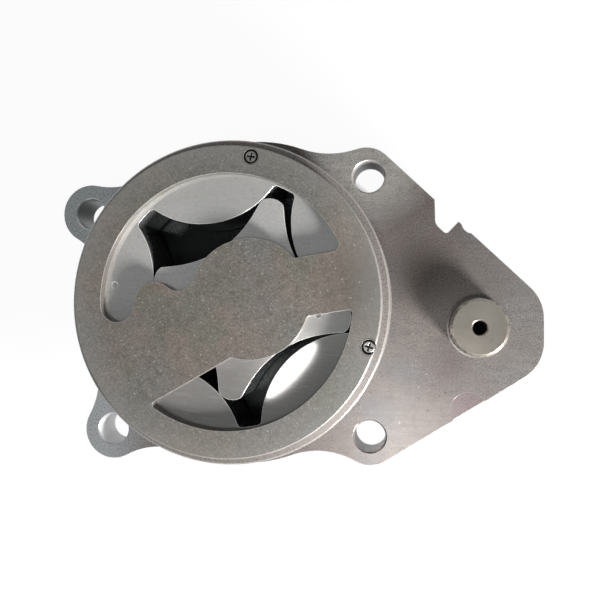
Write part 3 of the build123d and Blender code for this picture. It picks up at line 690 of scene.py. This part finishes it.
# %% [markdown]
# ## Screws
# Two small screws hold the plate. Their tool rings run round their own axes, and the painted shade in a
# recess starts below the face of its own head, so each screw gets a material of its own, made by the same
# function.

# %% Dress the screws
SCREW_COLOURS = ((170, 168, 166), (150, 148, 146), (206, 205, 203))
SCREW_ROUGH = (0.30, 0.42)

for screw in SCREWS:
    head_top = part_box(screw)[1][2]
    axis = box_centre(screw)
    steel = turned_finish("screw_steel", axis, SCREW_COLOURS, rough=SCREW_ROUGH, shade_below=head_top)
    dress(screw, "housing", steel, 0.08 * MM)

# %% [markdown]
# ## A white table that still takes a shadow
# The pump lies gear side down on a plain pale table. The table is white to the camera, and to mirrors,
# through a light path switch, but to every other ray it is matt and pale. A small share of the matt floor is
# kept in view as well, so the soft shadow still shows. Under the pump all of it is matt: otherwise the white
# would shine up through the bolt holes.

# %% Floor finish
WHITE_SHARE = 0.95
WHITE = (1.0, 1.0, 1.0, 1.0)
MATT = (0.92, 0.92, 0.92, 1.0)
SHADE_RADIUS = 51 * MM
SHADE_EDGE = 1.5 * MM


def floor_finish():
    g = Graph("pale_floor")
    rays = ("Is Camera Ray", "Is Glossy Ray", "Is Transmission Ray")
    camera_ray, glossy_ray, clear_ray = (g.add("ShaderNodeLightPath", output=ray) for ray in rays)
    seen = camera_ray + glossy_ray + clear_ray
    white = g.add("ShaderNodeEmission", {}, {"Color": WHITE, "Strength": 1.0})
    matt = g.add("ShaderNodeBsdfDiffuse", {}, {"Color": MATT})
    share = g.add("ShaderNodeMath", {"operation": "MINIMUM"}, {0: seen, 1: WHITE_SHARE})
    clear_of_pump = span(g, from_axis(g, ORIGIN), SHADE_RADIUS - SHADE_EDGE, SHADE_RADIUS + SHADE_EDGE)
    surface = g.add("ShaderNodeMixShader", {}, {0: share * clear_of_pump, 1: matt, 2: white})
    g.feed(g.tree.nodes["Material Output"].inputs["Surface"], surface)
    return g.material


# %% [markdown]
# ## A table without a corner
# A table that meets a wall shows a line behind the pump. Here the table curves up into the wall, as a sheet
# of paper does that is hung behind the work. It is one line, from the middle out and up through a quarter of
# a circle, spun right round, so that it closes off every side.

# %% Floor and cove
FLOOR_RADIUS = 1.6
COVE_RADIUS = 0.4
WALL_HEIGHT = 0.9
COVE_STEPS = 12
ROUND_STEPS = 96
FLOOR_MERGE = 0.01 * MM


def floor():
    """The line of the floor, the cove and the wall, spun round the pump."""
    form = bmesh.new()
    toe_x = FLOOR_RADIUS - COVE_RADIUS
    middle = form.verts.new((0.0, 0.0, gear_face))
    toe = form.verts.new((toe_x, 0.0, gear_face))
    form.edges.new((middle, toe))
    swept = bmesh.ops.spin(
        form, geom=[toe], cent=(toe_x, 0.0, gear_face + COVE_RADIUS), axis=(0.0, 1.0, 0.0),
        angle=math.radians(-90), steps=COVE_STEPS, use_merge=False, use_duplicate=False,
    )
    heel = [vertex for vertex in swept["geom_last"] if isinstance(vertex, bmesh.types.BMVert)][0]
    top = bmesh.ops.extrude_vert_indiv(form, verts=[heel])["verts"][0]
    top.co.z = gear_face + WALL_HEIGHT
    bmesh.ops.spin(
        form, geom=form.verts[:] + form.edges[:], cent=(0.0, 0.0, 0.0), axis=(0.0, 0.0, 1.0),
        angle=math.tau, steps=ROUND_STEPS, use_merge=True, use_duplicate=False,
    )
    bmesh.ops.remove_doubles(form, verts=form.verts, dist=FLOOR_MERGE)
    bmesh.ops.recalc_face_normals(form, faces=form.faces)
    mesh = smooth_mesh(form, "floor")
    mesh.materials.append(floor_finish())
    in_scene("floor", mesh)
    print("floor and cove", len(mesh.polygons), "faces")


floor()

# %% [markdown]
# ## Camera
# The camera stands about 200 mm above the plate and a little to the right, so that near edges look larger and
# the left walls of the holes hide. Its place was found by fitting the round edges of the pump.

# %% Camera
CAMERA_PLACE = Vector((46.9, -2.49, 205.0)) * MM
CAMERA_TARGET = Vector((18.20, 0.69, 0.0)) * MM
CAMERA_LENS = 42.84
SENSOR = 36.0
CLIP_START = 0.01


def camera():
    """A camera that looks from its place at its target, with +Y upwards."""
    data = bpy.data.cameras.new("camera")
    data.lens = CAMERA_LENS
    data.sensor_width = SENSOR
    data.sensor_height = SENSOR
    data.clip_start = CLIP_START
    back = (CAMERA_PLACE - CAMERA_TARGET).normalized()
    across = Vector((0.0, 1.0, 0.0)).cross(back).normalized()
    turn = Matrix((across, back.cross(across), back)).transposed().to_4x4()
    seat = in_scene("camera", data)
    seat.matrix_world = Matrix.Translation(CAMERA_PLACE) @ turn
    bpy.context.scene.camera = seat
    print("camera", round(math.degrees(back.angle(Vector((0.0, 0.0, 1.0)))), 1), "degrees off the upright")


camera()

# %% [markdown]
# ## Lamps
# Three soft sources light the pump. A low window at the lower right throws the pin's shadow to the upper
# left. It stands near, so the far side of the pump is dimmer. A panel overhead gives the broad sheen on the
# ground faces, and a small strip beside it gives the bright patch on the polished rotor. Each lamp is aimed
# at a point on the pump and placed by bearing and height, which is easier to think in than coordinates.

# %% Lamps
WINDOW_TINT = (1.0, 0.985, 0.965)
WHITE_TINT = (1.0, 1.0, 1.0)
GLARE_SPOT = Vector((17.7, -18.3, 15.25)) * MM
GLARE_BEARING = 47.4


def lamp(name, aim, azimuth, elevation, distance, size, power, tint=WHITE_TINT, turn_to=0.0):
    """A soft oval that faces a point on the pump. All angles are in degrees."""
    data = bpy.data.lights.new(name, "AREA")
    data.shape = "ELLIPSE"
    data.size, data.size_y = size
    data.energy = power
    data.color = tint
    bearing, rise, lean = (math.radians(angle) for angle in (azimuth, elevation, turn_to))
    away = Vector((math.cos(bearing) * math.cos(rise), math.sin(bearing) * math.cos(rise), math.sin(rise)))
    long_axis = Vector((math.cos(lean), math.sin(lean), 0.0))
    long_axis = (long_axis - away * long_axis.dot(away)).normalized()
    facing = Matrix((long_axis, away.cross(long_axis), away)).transposed().to_4x4()
    in_scene(name, data).matrix_world = Matrix.Translation(Vector(aim) + away * distance) @ facing
    print(name, power, "W at", distance, "m")


lamp("low_window", pin_centre, -47.0, 22.7, 0.385, (0.09, 0.09), 5.7, WINDOW_TINT)
lamp("overhead_panel", (0.0, 0.0, 0.0), -76.8, 75.4, 0.827, (0.12, 0.12), 0.8)
lamp("overhead_strip", GLARE_SPOT, -151.6, 80.0, 1.218, (0.145, 0.042), 0.075, turn_to=GLARE_BEARING)

# %% [markdown]
# ## The air around
# Lamps alone leave black shadows. In a room, walls and ceiling send light back from all sides. A pale, cool
# world does that here. The Standard view then shows each colour about as it was written.

# %% World and view
AIR_COLOUR = (0.95, 1.0, 1.0, 1.0)
AIR_STRENGTH = 0.18


def world():
    air = bpy.data.worlds.new("studio")
    air.use_nodes = True
    background = air.node_tree.nodes["Background"]
    background.inputs["Color"].default_value = AIR_COLOUR
    background.inputs["Strength"].default_value = AIR_STRENGTH
    bpy.context.scene.world = air
    print("world strength", AIR_STRENGTH)


world()
bpy.context.scene.view_settings.view_transform = "Standard"
